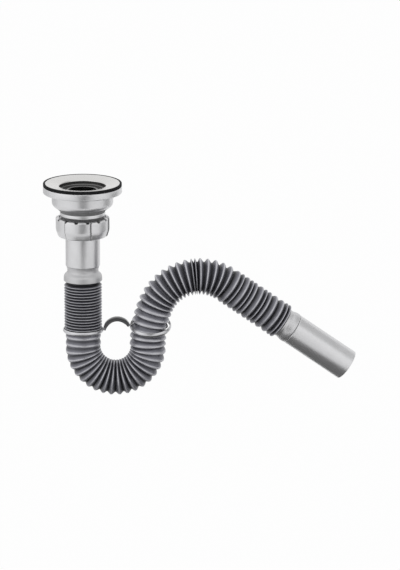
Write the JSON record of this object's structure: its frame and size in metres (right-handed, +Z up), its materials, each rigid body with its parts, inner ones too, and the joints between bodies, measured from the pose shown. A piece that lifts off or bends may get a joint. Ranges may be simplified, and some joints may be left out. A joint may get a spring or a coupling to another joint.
{
  "type": "flexible sink trap",
  "caption": "Basin waste with rubber gasket, slip joint with a notched coupling nut, grey bellows hose held in a U bend by a two-ring clip, and a straight outlet tube.",
  "frame": {"origin": "on the inlet axis, in the plane of the gasket lip and dish rim where the basin seats", "axes": "+Z up along the inlet axis, +X from the inlet towards the outlet tube"},
  "size_m": [0.2909, 0.0732, 0.2029],
  "materials": {
    "polished_steel": "polished stainless sheet",
    "black_rubber": "smooth matt rubber",
    "satin_silver": "satin silver plated plastic",
    "grey_plastic": "semi-gloss blown plastic"
  },
  "bodies": {
    "waste": {"waste_dish": "polished_steel", "basin_gasket": "black_rubber", "waste_body": "satin_silver"},
    "seal": {"seal_washer": "black_rubber"},
    "nut": {"coupling_nut": "satin_silver"},
    "inlet": {"inlet_tube": "satin_silver", "inlet_cuff": "satin_silver"},
    "trap": {"hose": "grey_plastic", "pipe_clip": "grey_plastic"},
    "outlet": {"outlet_cuff": "satin_silver", "tail_tube": "satin_silver"}
  },
  "joints": [
    {"name": "nut_travel", "type": "slide", "parent": "waste", "child": "seal", "axis": [0, 0, -1], "range_m": [0, 0.006]},
    {"name": "nut_turn", "type": "hinge", "parent": "seal", "child": "nut", "pos_m": [0, 0, -0.0501], "axis": [0, 0, -1], "range_deg": [0, 1080]},
    {"name": "inlet_swivel", "type": "hinge", "parent": "waste", "child": "inlet", "pos_m": [0, 0, -0.0785], "axis": [0, 0, 1], "range_deg": [-180, 180]},
    {"name": "riser_stretch", "type": "slide", "parent": "inlet", "child": "trap", "axis": [0, 0, -1], "range_m": [0, 0.055], "deforming": ["hose"]},
    {"name": "outlet_bend", "type": "hinge", "parent": "trap", "child": "outlet", "pos_m": [0.09908, 0.00105, -0.09057], "axis": [0, 1, 0], "range_deg": [-40, 50], "deforming": ["hose"]}
  ],
  "couplings": [
    {"joint": "nut_turn", "follows": "nut_travel", "rad_per_m": 3141.6}
  ]
}
